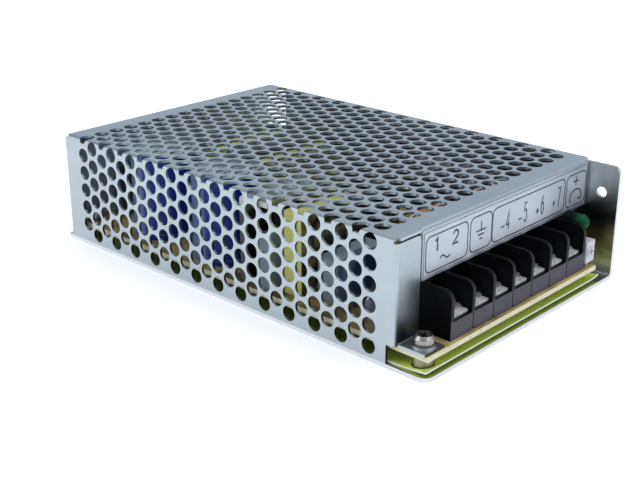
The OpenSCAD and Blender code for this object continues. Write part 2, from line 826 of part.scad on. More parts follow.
module insulating_pads() {
  color("lightpink") for (x = rectifier_x) difference() {
    translate([x - pad[0] / 2, wall_in - pad[1], rectifier_z - 14]) cube(pad);
    translate([x, wall_in - 2, rectifier_z]) rotate([-90, 0, 0])
      cylinder(r = package_hole_r, h = 4, $fn = fine);
  }
}

module rectifier_screws() {
  color("gainsboro") for (x = rectifier_x) flush_screw(x, rectifier_z, 6.5);
}

module rectifier_nuts() {
  color("silver") for (x = rectifier_x)
    translate([x, wall_in - pad[1] - package_tab_t, rectifier_z]) rotate([90, 0, 0]) difference() {
      cylinder(d = nut_d, h = nut_t, $fn = 6);
      translate([0, 0, -1]) cylinder(r = thread_r + bore_play, h = nut_t + 2, $fn = fine);
    }
}

module small_capacitors() {
  color("black") for (p = small_cap_at) translate([p[0], p[1], board_top]) can(small_cap_r, small_cap_h);
}

// Dual in-line packages
module control_chips() {
  color([0.1, 0.1, 0.1]) for (p = chip_at) translate([p[0], p[1], board_top]) {
    translate([-chip[0] / 2, -chip[1] / 2, chip_z]) cube(chip);
    for (s = [-1, 1], k = [-1.5:1:1.5])
      translate([k * lead_pitch - chip_pin[0] / 2, s * (chip[1] / 2 + 0.2) - chip_pin[1] / 2, 0])
        cube(chip_pin);
  }
}

// Axial resistors lying on the board, their ends bent down
module resistors() {
  color("peru") for (p = resistor_at)
    translate([p[0], p[1] - resistor_l / 2, board_top + resistor_cap_r]) rotate([-90, 0, 0]) {
      cylinder(r = resistor_r, h = resistor_l, $fn = fine);
      for (y = [0.4, resistor_l - resistor_cap_l - 0.4])
        translate([0, 0, y]) cylinder(r = resistor_cap_r, h = resistor_cap_l, $fn = fine);
    }
}

module film_capacitor() {
  color("seagreen") translate([film_cap_at[0], film_cap_at[1], board_top]) {
    translate([-film_cap[0] / 2, -film_cap[1] / 2, 1]) cube(film_cap);
    for (y = [-3.75, 3.75]) translate([-0.3, y - 0.3, 0]) cube([0.6, 0.6, 1.1]);
  }
}

chassis();
mesh_cover();
cover_screws();
insulating_sheet();
board_spacers();
circuit_board();
board_screws();
spring_washers();
plain_washers();
terminal_block();
terminal_contacts();
terminal_clamp(0);  // terminal_clamp_1
terminal_clamp(1);  // terminal_clamp_2
terminal_clamp(2);  // terminal_clamp_3
terminal_clamp(3);  // terminal_clamp_4
terminal_clamp(4);  // terminal_clamp_5
terminal_clamp(5);  // terminal_clamp_6
terminal_clamp(6);  // terminal_clamp_7
terminal_screw(0);  // terminal_screw_1
terminal_screw(1);  // terminal_screw_2
terminal_screw(2);  // terminal_screw_3
terminal_screw(3);  // terminal_screw_4
terminal_screw(4);  // terminal_screw_5
terminal_screw(5);  // terminal_screw_6
terminal_screw(6);  // terminal_screw_7
trimmer_body();
trimmer_rotor();
indicator_lamp();
bulk_capacitor(0);  // bulk_capacitor_1
bulk_capacitor(1);  // bulk_capacitor_2
transformer_core();
transformer_winding();
primary_heatsink();
power_transistor();
yellow_capacitor();
grey_capacitors();
varistor();
thermistor();
fuse();
fuse_clips();
filter_choke_core();
filter_choke_windings();
bridge_rectifier();
output_choke_ring();
output_choke_winding();
output_capacitors();
output_rectifiers();
insulating_pads();
rectifier_screws();
rectifier_nuts();
small_capacitors();
control_chips();
resistors();
film_capacitor();
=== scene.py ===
# Looks of a mesh case switching power supply, built round its solids. Metres.
# +X points to the terminals, +Y to the solid chassis wall, +Z up.
import json
import math

import bmesh
import bpy
from mathutils import Matrix, Vector, noise


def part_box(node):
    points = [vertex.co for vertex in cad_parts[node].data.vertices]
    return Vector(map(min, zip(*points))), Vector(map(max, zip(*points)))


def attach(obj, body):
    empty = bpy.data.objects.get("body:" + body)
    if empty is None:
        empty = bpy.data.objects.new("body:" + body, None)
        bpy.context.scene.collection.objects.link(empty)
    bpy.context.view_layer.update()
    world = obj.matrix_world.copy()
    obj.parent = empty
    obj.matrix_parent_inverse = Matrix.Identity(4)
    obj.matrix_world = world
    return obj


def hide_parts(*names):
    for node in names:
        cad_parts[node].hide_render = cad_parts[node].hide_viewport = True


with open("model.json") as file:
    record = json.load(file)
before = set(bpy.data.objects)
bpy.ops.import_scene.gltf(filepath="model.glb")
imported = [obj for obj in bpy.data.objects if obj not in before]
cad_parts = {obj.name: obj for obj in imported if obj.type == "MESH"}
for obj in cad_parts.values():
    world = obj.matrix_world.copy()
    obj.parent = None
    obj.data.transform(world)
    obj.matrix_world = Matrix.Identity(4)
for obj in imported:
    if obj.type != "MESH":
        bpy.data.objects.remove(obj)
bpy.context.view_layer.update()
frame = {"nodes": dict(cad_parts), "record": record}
NODES = frame["nodes"]
MM = 0.001


# Node graphs

class Graph:
    """A material's node tree, with short calls for the nodes that the finishes share."""

    def __init__(self, name):
        self.material = bpy.data.materials.new(name)
        self.material.use_nodes = True
        self.tree = self.material.node_tree
        self.shader = self.tree.nodes["Principled BSDF"]
        self.where = self.tree.nodes.new("ShaderNodeTexCoord").outputs["Object"]

    def add(self, kind, **values):
        node = self.tree.nodes.new(kind)
        for key, value in values.items():
            setattr(node, key, value)
        return node

    def link(self, source, target):
        self.tree.links.new(source, target)

    def feed(self, socket, value):
        """Link a socket's value, or set a colour or a number on the spot."""
        if isinstance(value, bpy.types.NodeSocket):
            self.link(value, socket)
        elif isinstance(value, tuple) and len(value) == 3:
            socket.default_value = value + (1,)
        else:
            socket.default_value = value

    def stretch(self, scale):
        """The place on the object, scaled along each axis, for streaks."""
        node = self.add("ShaderNodeMapping")
        self.link(self.where, node.inputs["Vector"])
        node.inputs["Scale"].default_value = scale
        return node.outputs["Vector"]

    def noise(self, scale, detail, rough=0.5, vector=None):
        node = self.add("ShaderNodeTexNoise")
        self.link(vector or self.where, node.inputs["Vector"])
        node.inputs["Scale"].default_value = scale
        node.inputs["Detail"].default_value = detail
        node.inputs["Roughness"].default_value = rough
        return node.outputs["Fac"]

    def bands(self, scale, direction):
        node = self.add("ShaderNodeTexWave", bands_direction=direction)
        self.link(self.where, node.inputs["Vector"])
        node.inputs["Scale"].default_value = scale
        node.inputs["Distortion"].default_value = 0.3
        return node.outputs["Fac"]

    def cells(self, scale):
        """One random shade for each cell, as in a spangled plating."""
        node = self.add("ShaderNodeTexVoronoi")
        self.link(self.where, node.inputs["Vector"])
        node.inputs["Scale"].default_value = scale
        flake = self.add("ShaderNodeSeparateColor")
        self.link(node.outputs["Color"], flake.inputs["Color"])
        return flake.outputs[0]

    def fit(self, value, low, high, to_low=0.0, to_high=1.0):
        """The value, moved from one span to another and held inside it."""
        node = self.add("ShaderNodeMapRange", clamp=True)
        self.link(value, node.inputs["Value"])
        numbers = {"From Min": low, "From Max": high, "To Min": to_low, "To Max": to_high}
        for name, number in numbers.items():
            node.inputs[name].default_value = number
        return node.outputs["Result"]

    def mix(self, share, a, b):
        node = self.add("ShaderNodeMix", data_type="RGBA")
        self.feed(node.inputs["Factor"], share)
        self.feed(node.inputs[6], a)
        self.feed(node.inputs[7], b)
        return node.outputs[2]

    def mottle(self, scale, detail, a, b):
        """Two tones in soft patches."""
        return self.mix(self.fit(self.noise(scale, detail), 0.3, 0.7), a, b)

    def maths(self, how, a, b):
        node = self.add("ShaderNodeMath", operation=how)
        self.feed(node.inputs[0], a)
        self.feed(node.inputs[1], b)
        return node.outputs[0]

    def axis(self, name):
        """One coordinate of the place on the object."""
        node = self.add("ShaderNodeSeparateXYZ")
        self.link(self.where, node.inputs["Vector"])
        return node.outputs[name]

    def facing(self, name):
        """One component of the surface's normal."""
        node = self.add("ShaderNodeSeparateXYZ")
        self.link(self.add("ShaderNodeNewGeometry").outputs["Normal"], node.inputs["Vector"])
        return node.outputs[name]

    def bump(self, height, strength, distance, round_off=0.0):
        """Relief from a height, and edges rounded off by the given radius."""
        node = self.add("ShaderNodeBump")
        self.link(height, node.inputs["Height"])
        node.inputs["Strength"].default_value = strength
        node.inputs["Distance"].default_value = distance
        if round_off:
            edge = self.add("ShaderNodeBevel", samples=4)
            edge.inputs["Radius"].default_value = round_off
            self.link(edge.outputs["Normal"], node.inputs["Normal"])
        self.link(node.outputs["Normal"], self.shader.inputs["Normal"])

    def finish(self, color, rough, metal=0.0, **others):
        self.feed(self.shader.inputs["Base Color"], color)
        self.feed(self.shader.inputs["Roughness"], rough)
        self.shader.inputs["Metallic"].default_value = metal
        for name, value in others.items():
            self.shader.inputs[name.replace("_", " ")].default_value = value
        return self.material


def shade(color, k):
    return tuple(min(1.0, c * k) for c in color)


# Places where a tone changes over, each from where it starts to where it ends

FOOT_Z = (8 * MM, 25 * MM)
FLANGE_Z = (29 * MM, 30.5 * MM)
OPEN_FRONT_X = (60 * MM, 70 * MM)
FLOOR_END_Y = (36 * MM, 40 * MM)
LEFT_EDGE_Y = (-40 * MM, -45 * MM)
BLOCK_SILL_Z = (12.0 * MM, 12.8 * MM)
LENS_END_X = (71.6 * MM, 72.8 * MM)
TAPE_SHADE_X = (-16 * MM, -12 * MM)
FILM_OPEN_X = (58 * MM, 72 * MM)
FILM_TIP_X = (75.5 * MM, 78.5 * MM)

SKIN = 0.04 * MM
COPPER = (0.66, 0.17, 0.035)


# Finishes

def cover_sheet(color):
    """Plated steel: cloudy tone, faint spangle and rolling lines, with painted shade at the foot and
    along the fold.
    """
    g = Graph("cover_sheet")
    cloud = g.noise(38, 4)
    lines = g.noise(60, 3, vector=g.stretch((0.3, 9, 9)))
    tone = g.mix(g.fit(cloud, 0.3, 0.7), shade(color, 0.93), shade(color, 1.06))
    tone = g.mix(g.fit(lines, 0.35, 0.65, 0.0, 0.22), tone, shade(color, 0.82))
    tone = g.mix(g.fit(g.cells(420), 0, 1, 0, 0.14), tone, shade(color, 1.14))
    # Painted shade: faces turned to +X darken towards the bottom, a painted dark reflection low on the
    # front leg.
    low = g.fit(g.axis("Z"), *FOOT_Z, 0.94, 0.0)
    foot = g.maths("MULTIPLY", low, g.fit(g.facing("X"), 0.6, 0.95))
    tone = g.mix(foot, tone, shade(color, 0.04))
    # Painted shade along the fold between top and side, in place of the highlight the fold catches.
    fold = g.maths("MULTIPLY", g.facing("Z"), g.facing("Y"))
    tone = g.mix(g.fit(fold, -0.1, -0.4), tone, shade(color, 0.6))
    g.bump(g.maths("ADD", lines, g.noise(900, 2)), 0.1, 0.05 * MM)
    return g.finish(tone, g.fit(cloud, 0.3, 0.7, 0.306, 0.408), 1.0)


def brushed(g, color, scale, low, high, worn, share):
    """Tone of brushed metal with its relief, and the fine streaks themselves."""
    fine = g.noise(100, 5, 0.6, g.stretch(scale))
    wide = g.noise(14, 3, 0.5, g.stretch(scale))
    tone = g.mix(g.fit(fine, 0.35, 0.65), shade(color, low), shade(color, high))
    tone = g.mix(g.fit(wide, 0.3, 0.7, 0, share), tone, shade(color, worn))
    g.bump(fine, 0.25, 0.06 * MM)
    return tone, fine


def heatsink_metal(color):
    """Extruded fins: long streaks, with painted shadow that makes everything below the top flange near
    black.
    """
    g = Graph("heatsink_metal")
    bare, fine = brushed(g, color, (60, 2, 2), 0.78, 1.12, 0.66, 0.45)
    # Painted shadow: below the top flange the brushed metal is painted near black.
    tone = g.mix(g.fit(g.axis("Z"), *FLANGE_Z), shade(color, 0.14), bare)
    return g.finish(tone, g.fit(fine, 0.3, 0.7, 0.27, 0.42), 1.0)


def chassis_sheet(color):
    """Brushed sheet: pale sheared edges, a painted olive reflection on the open floor, and painted
    highlight, reflections and shade inside the wall.
    """
    g = Graph("chassis_sheet")
    tone = brushed(g, color, (60, 60, 1.5), 0.75, 1.15, 0.6, 0.5)[0]
    height = g.axis("Z")
    front = g.fit(g.axis("X"), *OPEN_FRONT_X)
    # Inside of the wall, from the bottom up: a painted pale highlight, a painted olive-brown reflection,
    # a painted dark band of shade, then the brushed tone.
    wall_painted_light = (0.95, 0.97, 0.97)
    for low, high, above in ((6, 10, (0.46, 0.43, 0.20)), (14, 19, (0.09, 0.095, 0.10)), (21, 29, tone)):
        wall_painted_light = g.mix(g.fit(height, low * MM, high * MM), wall_painted_light, above)
    # Painted reflection: further back than the open front, the wall's inside takes the board's brown.
    wall_painted_light = g.mix(front, (0.20, 0.165, 0.16), wall_painted_light)
    inside = g.fit(g.facing("Y"), -0.5, -0.9)
    tone = g.mix(inside, tone, wall_painted_light)
    # Painted reflection: the floor's top in the open front takes the film's olive, and a plain grey near
    # the far end where the film isn't reflected.
    floor_reflection = g.mix(g.fit(g.axis("Y"), *FLOOR_END_Y), (0.44, 0.50, 0.15), (0.34, 0.35, 0.34))
    tone = g.mix(g.maths("MULTIPLY", front, g.fit(g.facing("Z"), 0.7, 0.9)), tone, floor_reflection)
    left = g.maths("MULTIPLY", inside, g.fit(g.axis("Y"), *LEFT_EDGE_Y))
    sheared = g.maths("MAXIMUM", left, g.fit(g.facing("X"), 0.5, 0.9))
    tone = g.mix(sheared, tone, (0.71, 0.72, 0.74))
    return g.finish(tone, g.fit(sheared, 0, 1, 0.30, 0.5), 1.0)


def black_moulding():
    """Black moulding, with painted light on the faces turned to +X: greyer on the front wall, a little
    on the partitions' front edges.
    """
    g = Graph("black_moulding")
    skin = g.noise(1200, 3, 0.6)
    tone = g.mottle(90, 3, (0.002, 0.002, 0.003), (0.004, 0.004, 0.005))
    # Painted light: faces turned to +X are lighter, most on the front wall below the sill.
    face = g.mix(g.fit(g.axis("Z"), *BLOCK_SILL_Z), (0.078, 0.074, 0.090), (0.024, 0.024, 0.025))
    tone = g.mix(g.fit(g.facing("X"), 0.5, 0.9), tone, face)
    g.bump(skin, 0.12, SKIN, round_off=0.3 * MM)
    return g.finish(tone, g.fit(skin, 0.3, 0.7, 0.38, 0.5), Specular_IOR_Level=0.06)


def green_lens():
    """Tinted lens, clear green at its free end, with painted shade that makes it dark towards its
    flange.
    """
    g = Graph("green_lens")
    tint = g.noise(300, 2)
    free = g.mix(g.fit(tint, 0.3, 0.7), (0.000, 0.048, 0.020), (0.001, 0.066, 0.029))
    # Painted shade: behind its free end the lens is painted near black.
    tone = g.mix(g.fit(g.axis("X"), *LENS_END_X), (0.001, 0.007, 0.005), free)
    g.bump(tint, 0.1, SKIN)
    return g.finish(tone, g.fit(tint, 0.3, 0.7, 0.34, 0.42), Specular_IOR_Level=0.12)


def yellow_case():
    """Lacquered box: its narrow side yellow, its broad front turned to +X in painted shade, broken into
    dark and olive patches.
    """
    g = Graph("yellow_case")
    blotches = g.noise(180, 3)
    unshaded_yellow = g.mottle(90, 3, (0.53, 0.53, 0.12), (0.59, 0.59, 0.15))
    # Painted shade on the broad front turned to +X, in dark and olive patches.
    shaded_front = g.mix(g.fit(blotches, 0.45, 0.6), (0.025, 0.024, 0.012), (0.20, 0.17, 0.06))
    tone = g.mix(g.fit(g.facing("X"), 0.5, 0.9), unshaded_yellow, shaded_front)
    g.bump(blotches, 0.08, SKIN)
    return g.finish(tone, g.fit(blotches, 0.3, 0.7, 0.25, 0.32))


def bright(name, color, rough, metal=1.0):
    """Nickel or tin plate with fine marks of handling."""
    g = Graph(name)
    marks = g.noise(700, 4)
    tone = g.mix(g.fit(marks, 0.35, 0.7), shade(color, 0.84), color)
    g.bump(marks, 0.08, SKIN, round_off=0.15 * MM)
    return g.finish(tone, g.fit(marks, 0.3, 0.7, rough * 0.7, rough * 1.6), metal)


def moulded(name, color, rough, uneven, grain=1600, relief=0.1, **others):
    """Moulded plastic, epoxy, card or lacquer: slight mottling and a fine skin."""
    g = Graph(name)
    skin = g.noise(grain, 3, 0.6)
    tone = g.mottle(90, 3, shade(color, 1 - uneven), shade(color, 1 + uneven))
    g.bump(skin, relief, SKIN)
    return g.finish(tone, g.fit(skin, 0.3, 0.7, rough * 0.88, rough * 1.12), **others)


def winding_tape():
    """Polyester tape, yellow at the rear, in painted shade that darkens it to olive towards the front.
    """
    g = Graph("yellow_tape")
    skin = g.noise(700, 3, 0.6)
    unshaded_yellow = g.mottle(90, 3, (0.52, 0.49, 0.08), (0.62, 0.59, 0.11))
    # Painted shade: towards +X the tape is painted dark olive.
    tone = g.mix(g.fit(g.axis("X"), *TAPE_SHADE_X), unshaded_yellow, (0.19, 0.18, 0.06))
    g.bump(skin, 0.1, SKIN)
    return g.finish(tone, g.fit(skin, 0.3, 0.7, 0.27, 0.34))


def sleeved_can(name, sleeve, lid, rough, painted_sheen=None):
    """Shrink sleeve, with a paler painted sheen where one is given on the flanks that face away from the
    front, and bare metal on the sunk lid.
    """
    g = Graph(name)
    skin = g.noise(500, 3)
    flank = g.mottle(60, 3, shade(sleeve, 0.88), shade(sleeve, 1.12))
    # Painted reflection: flanks turned away from +X take the paler sheen colour, where one is given.
    flank = g.mix(g.fit(g.facing("X"), 0.22, 0.08), flank, painted_sheen or sleeve)
    top = g.mottle(500, 4, shade(lid, 0.8), lid)
    tone = g.mix(g.fit(g.facing("Z"), 0.85, 0.95), flank, top)
    g.bump(skin, 0.06, SKIN)
    return g.finish(tone, g.fit(skin, 0.3, 0.7, rough * 0.85, rough * 1.2), Specular_IOR_Level=0.3)


def wound(name, color):
    """Enamelled wire laid side by side."""
    g = Graph(name)
    wires = g.bands(260, "Z")
    tone = g.mix(g.fit(wires, 0.1, 0.7), shade(color, 0.3), color)
    tone = g.mix(g.fit(g.noise(300, 3), 0.35, 0.7, 0, 0.5), tone, shade(color, 0.6))
    g.bump(wires, 0.8, 0.3 * MM)
    return g.finish(tone, 0.26, Coat_Weight=0.5)


def board_laminate():
    """Tan laminate: pale cream cut edge, tan top in random darker patches, green underside."""
    g = Graph("board_laminate")
    blotches = g.noise(55, 4, 0.6)
    top = g.mix(g.fit(blotches, 0.4, 0.6), (0.48, 0.375, 0.15), (0.12, 0.09, 0.035))
    edge = g.mottle(400, 2, (0.56, 0.51, 0.33), (0.66, 0.62, 0.45))
    up = g.facing("Z")
    tone = g.mix(g.fit(up, 0.4, 0.6), edge, top)
    tone = g.mix(g.fit(up, -0.6, -0.4), (0.16, 0.24, 0.03), tone)
    g.bump(g.noise(1100, 3), 0.15, 0.05 * MM)
    return g.finish(tone, g.fit(blotches, 0.3, 0.7, 0.28, 0.5))


def insulating_film():
    """Translucent film: milky cut edges, olive where the board's colour comes through, with painted
    shade under the board and painted light just past its front.
    """
    g = Graph("insulating_film")
    cloud = g.noise(40, 3)
    along = g.axis("X")
    # Painted light: brightest just past the board's front and less towards the film's tip, against the
    # shadow the board casts.
    open_end = g.mix(g.fit(along, *FILM_TIP_X), (0.92, 1.0, 0.16), (0.50, 0.60, 0.09))
    open_end = g.mix(g.fit(cloud, 0.3, 0.7, 0, 0.2), open_end, (0.66, 0.70, 0.16))
    # Painted shade: further back, under the board, the film is painted dark olive.
    flat = g.mix(g.fit(along, *FILM_OPEN_X), (0.16, 0.19, 0.04), open_end)
    level = g.maths("ABSOLUTE", g.facing("Z"), 0.0)
    tone = g.mix(g.fit(level, 0.5, 0.75), (0.82, 0.85, 0.82), flat)
    g.bump(cloud, 0.2, 0.2 * MM)
    return g.finish(tone, g.fit(cloud, 0.3, 0.7, 0.2, 0.34), Subsurface_Weight=0.15)


def label_sheet():
    """Silver grey label stock, a little cloudy."""
    g = Graph("label_film")
    cloud = g.noise(16, 3)
    tone = g.mix(g.fit(cloud, 0.35, 0.65), (0.35, 0.39, 0.455), (0.53, 0.57, 0.62))
    g.bump(g.noise(1500, 2), 0.05, 0.03 * MM)
    return g.finish(tone, g.fit(cloud, 0.3, 0.7, 0.30, 0.40), 0.75)


def label_ink():
    g = Graph("label_ink")
    return g.finish(g.mottle(900, 2, (0.012, 0.012, 0.015), (0.03, 0.03, 0.035)), 0.4)


finishes = {
    "chassis_sheet": chassis_sheet((0.66, 0.69, 0.69)),
    "cover_sheet": cover_sheet((0.43, 0.485, 0.52)),
    "bright_steel": bright("bright_steel", (0.82, 0.82, 0.83), 0.22, metal=0.84),
    "contact_plating": bright("contact_plating", (0.88, 0.88, 0.88), 0.28, metal=0.5),
    "insulating_film": insulating_film(),
    "board_laminate": board_laminate(),
    "black_moulding": black_moulding(),
    "pale_plastic": moulded("pale_plastic", (0.56, 0.53, 0.59), 0.36, 0.05, Subsurface_Weight=0.2),
    "green_lens": green_lens(),
    "blue_sleeve": sleeved_can("blue_sleeve", (0.012, 0.019, 0.215), (0.34, 0.36, 0.38), 0.36,
                               painted_sheen=(0.115, 0.155, 0.32)),
    "ferrite": moulded("ferrite", (0.016, 0.016, 0.018), 0.5, 0.2, 900, 0.3),
    "yellow_tape": winding_tape(),
    "heatsink_metal": heatsink_metal((0.50, 0.52, 0.53)),
    "black_epoxy": moulded("black_epoxy", (0.030, 0.033, 0.040), 0.5, 0.15, 1400, 0.25),
    "yellow_case": yellow_case(),
    "grey_case": moulded("grey_case", (0.19, 0.245, 0.30), 0.36, 0.06),
    "blue_epoxy": moulded("blue_epoxy", (0.020, 0.040, 0.085), 0.3, 0.08, 300, 0.3),
    "dark_green_epoxy": moulded("dark_green_epoxy", (0.02, 0.05, 0.035), 0.3, 0.1, 300, 0.3),
    "fuse_glass": moulded("fuse_glass", (0.10, 0.13, 0.17), 0.14, 0.06, Transmission_Weight=0.3),
    "copper_wire": wound("copper_wire", COPPER),
    "ring_powder": moulded("ring_powder", (0.40, 0.36, 0.16), 0.5, 0.1, 900, 0.3),
    "black_sleeve": sleeved_can("black_sleeve", (0.014, 0.014, 0.026), (0.66, 0.61, 0.50), 0.26),
    "pad_silicone": moulded("pad_silicone", (0.40, 0.27, 0.27), 0.6, 0.08),
    "resistor_coat": moulded("resistor_coat", (0.40, 0.27, 0.14), 0.45, 0.1),
    "green_case": moulded("green_case", (0.02, 0.13, 0.06), 0.3, 0.08, 300, 0.3),
}

# Nodes whose finish differs from the rest of their slot
own_finish = {
    "cover_screws": bright("cover_screw_steel", (0.50, 0.50, 0.48), 0.3),
    "rectifier_screws": bright("rectifier_screw_steel", (0.46, 0.46, 0.45), 0.3),
    "board_screws": bright("screw_steel", (0.36, 0.35, 0.32), 0.24),
    "spring_washers": bright("spring_steel", (0.12, 0.12, 0.11), 0.34),
    "plain_washers": bright("washer_steel", (0.50, 0.50, 0.48), 0.3),
    "board_spacers": bright("spacer_steel", (0.36, 0.35, 0.26), 0.4),
    "filter_choke_windings": wound("choke_enamel", (0.034, 0.022, 0.014)),
    "small_capacitors": sleeved_can("small_sleeve", (0.014, 0.014, 0.02), (0.10, 0.10, 0.11), 0.3),
}

slot_of = {row["node"]: row["material_slot"] for row in frame["record"]["subparts"]}
for name, node in NODES.items():
    node.data.materials.clear()
    node.data.materials.append(own_finish.get(name, finishes[slot_of[name]]))


# Pieces

def piece(name, bm, finish, replaced=None, smooth=False):
    """Mesh that rides on the case, and stands in for a solid where one is named."""
    bmesh.ops.recalc_face_normals(bm, faces=bm.faces)
    mesh = bpy.data.meshes.new(name)
    bm.to_mesh(mesh)
    bm.free()
    for face in mesh.polygons:
        face.use_smooth = smooth
    thing = bpy.data.objects.new(name, mesh)
    bpy.context.scene.collection.objects.link(thing)
    mesh.materials.append(finish)
    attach(thing, "case")
    if replaced:
        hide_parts(replaced)


def arc(centre, radii, start, end, steps):
    """Points on an ellipse's arc, angles in degrees."""
    angles = [math.radians(start + (end - start) * k / steps) for k in range(steps + 1)]
    return [(centre[0] + radii[0] * math.cos(a), centre[1] + radii[1] * math.sin(a)) for a in angles]


def rounded(low, high, r, steps=6):
    """Outline of a rectangle with round corners, counterclockwise."""
    corners = ((high[0] - r, high[1] - r, 0), (low[0] + r, high[1] - r, 90),
               (low[0] + r, low[1] + r, 180), (high[0] - r, low[1] + r, 270))
    return [p for x, y, a in corners for p in arc((x, y), (r, r), a, a + 90, steps)]


def ribbon(bm, points, width, place, rise, closed=False):
    """Flat stroke along 2-D points. place(u, v, w) gives a 3-D point, w the height from 0 to rise."""
    count = len(points)
    rows = []
    for k, point in enumerate(points):
        before = Vector(points[(k - 1) % count] if closed or k else point)
        after = Vector(points[(k + 1) % count] if closed or k < count - 1 else point)
        here = Vector(point)
        into = (here - before).normalized()
        out = (after - here).normalized()
        along = (into + out).normalized()
        side = Vector((-along.y, along.x))
        leg = out if out.length else into
        reach = width / 2 / max(0.45, side.dot(Vector((-leg.y, leg.x))))
        left, right = here + side * reach, here - side * reach
        section = ((left, 0), (left, rise), (right, rise), (right, 0))
        rows.append([bm.verts.new(place(*p, w)) for p, w in section])
    for k in range(count if closed else count - 1):
        a, b = rows[k], rows[(k + 1) % count]
        for i in range(4):
            bm.faces.new((a[i], a[(i + 1) % 4], b[(i + 1) % 4], b[i]))
    if not closed:
        bm.faces.new(rows[0])
        bm.faces.new(rows[-1][::-1])


def slab(bm, outline, place, rise):
    """Flat plate with the given outline."""
    low = [bm.verts.new(place(u, v, 0)) for u, v in outline]
    top = [bm.verts.new(place(u, v, rise)) for u, v in outline]
    bm.faces.new(low[::-1])
    bm.faces.new(top)
    for k in range(len(outline)):
        n = (k + 1) % len(outline)
        bm.faces.new((low[k], low[n], top[n], top[k]))


def tube(bm, path, radius, sides=8):
    """Round wire along 3-D points."""
    rings = []
    up = Vector((0, 0, 1))
    for k, here in enumerate(path):
        along = (path[min(k + 1, len(path) - 1)] - path[max(k - 1, 0)]).normalized()
        across = along.cross(up)
        if across.length < 0.1:
            across = along.cross(Vector((0, 1, 0)))
        across.normalize()
        up = across.cross(along)
        ring = []
        for i in range(sides):
            a = 2 * math.pi * i / sides
            ring.append(bm.verts.new(here + radius * (math.cos(a) * across + math.sin(a) * up)))
        rings.append(ring)
    for a, b in zip(rings, rings[1:]):
        for i in range(sides):
            n = (i + 1) % sides
            bm.faces.new((a[i], a[n], b[n], b[i]))
    bm.faces.new(rings[0][::-1])
    bm.faces.new(rings[-1])


# Label on the band: film, outlines and plain marks, with places on it in millimetres

BAND_X = 68.5 * MM
LABEL_T = 0.08 * MM
INK_T = 0.03 * MM
LABEL_LOW = (-37.2, 23.5)
LABEL_HIGH = (46.6, 36.6)
LABEL_R = 0.5
BORDER = 0.2
FIELDS_Y = ((-36.2, -17.2), (-16.0, -5.6), (-5.2, 33.5), (34.6, 46.0))
FIELD_Z = (24.5, 34.9)
FIELD_R = 1.9
BORDER_W = 0.14
FIELD_W = 0.40
SIGN_W = 0.46
WAVE_W = 0.48
BAR_W = 0.50
NUMBER_W = 0.62


def on_band(y, z, w):
    return Vector((BAND_X + w, y * MM, z * MM))


def on_label(y, z, w):
    return on_band(y, z, LABEL_T + w)


DIGITS = {
    "1": [[(0.25, 0.80), (0.55, 1), (0.55, 0)]],
    "2": [arc((0.5, 0.70), (0.32, 0.30), 170, -30, 7) + [(0.16, 0), (0.86, 0)]],
    "4": [[(0.92, 0.28), (0.10, 0.28), (0.66, 1), (0.66, 0)]],
    "5": [[(0.80, 1), (0.26, 1), (0.20, 0.56)] + arc((0.48, 0.33), (0.34, 0.33), 115, -150, 9)],
    "6": [arc((0.95, 0.32), (0.77, 0.70), 115, 180, 4) + arc((0.5, 0.31), (0.32, 0.31), 180, -180, 12)],
    "7": [[(0.14, 1), (0.86, 1), (0.40, 0)]],
}

ink = bmesh.new()


def stroke(points, width, closed=False):
    ribbon(ink, points, width, on_label, INK_T, closed)


def digit(sign, y, z, width, height, weight):
    for line in DIGITS[sign]:
        stroke([(y + p[0] * width, z + p[1] * height) for p in line], weight)


def supply_marks(y, z):
    """Two numbers over a wave."""
    digit("1", y, z, 3.0, 3.8, NUMBER_W)
    digit("2", y + 8.2, z, 3.4, 3.8, NUMBER_W)
    steps = [0.33 * k for k in range(15)]
    stroke([(y + 3.0 + s, z - 2.6 + 0.6 * math.sin(s * 2 * math.pi / 4.6)) for s in steps], WAVE_W)


def earth_mark(y, z):
    stroke([(y, z + 2.7), (y, z)], SIGN_W)
    for drop, half in ((0.0, 2.4), (1.3, 1.5), (2.6, 0.7)):
        stroke([(y - half, z - drop), (y + half, z - drop)], BAR_W)


def output_mark(sign, plus, y, z):
    """A number after a plus or a minus sign."""
    digit(sign, y + 1.2, z - 1.6, 2.2, 6.0, SIGN_W)
    stroke([(y - 1.3, z), (y + 0.5, z)], SIGN_W)
    if plus:
        stroke([(y - 0.4, z - 1.0), (y - 0.4, z + 1.0)], SIGN_W)


def setting_mark(y, z):
    """A plus sign over a turning arrow."""
    stroke([(y - 1.6, z), (y + 1.6, z)], BAR_W)
    stroke([(y, z - 1.5), (y, z + 1.5)], BAR_W)
    turn = arc((y + 0.3, z - 5.2), (3.4, 2.5), 215, -30, 12)
    stroke(turn, BAR_W)
    tip = turn[-1]
    stroke([(tip[0] - 1.6, tip[1] + 0.5), tip], BAR_W)
    stroke([tip, (tip[0] + 0.6, tip[1] + 1.6)], BAR_W)


film = bmesh.new()
slab(film, rounded(LABEL_LOW, LABEL_HIGH, LABEL_R, 3), on_band, LABEL_T)
piece("label_film", film, label_sheet())

border_low = [edge + BORDER for edge in LABEL_LOW]
border_high = [edge - BORDER for edge in LABEL_HIGH]
stroke(rounded(border_low, border_high, LABEL_R, 3), BORDER_W, closed=True)
for left, right in FIELDS_Y:
    stroke(rounded((left, FIELD_Z[0]), (right, FIELD_Z[1]), FIELD_R), FIELD_W, closed=True)
supply_marks(-32.8, 29.9)
earth_mark(-10.8, 30.3)
for number, sign in enumerate("4567"):
    output_mark(sign, sign in "67", 0.4 + 9.2 * number, 28.2)
setting_mark(40.0, 32.4)
piece("label_print", ink, label_ink())


# Insulating film: it lies on the chassis floor and its front edge lifts a little

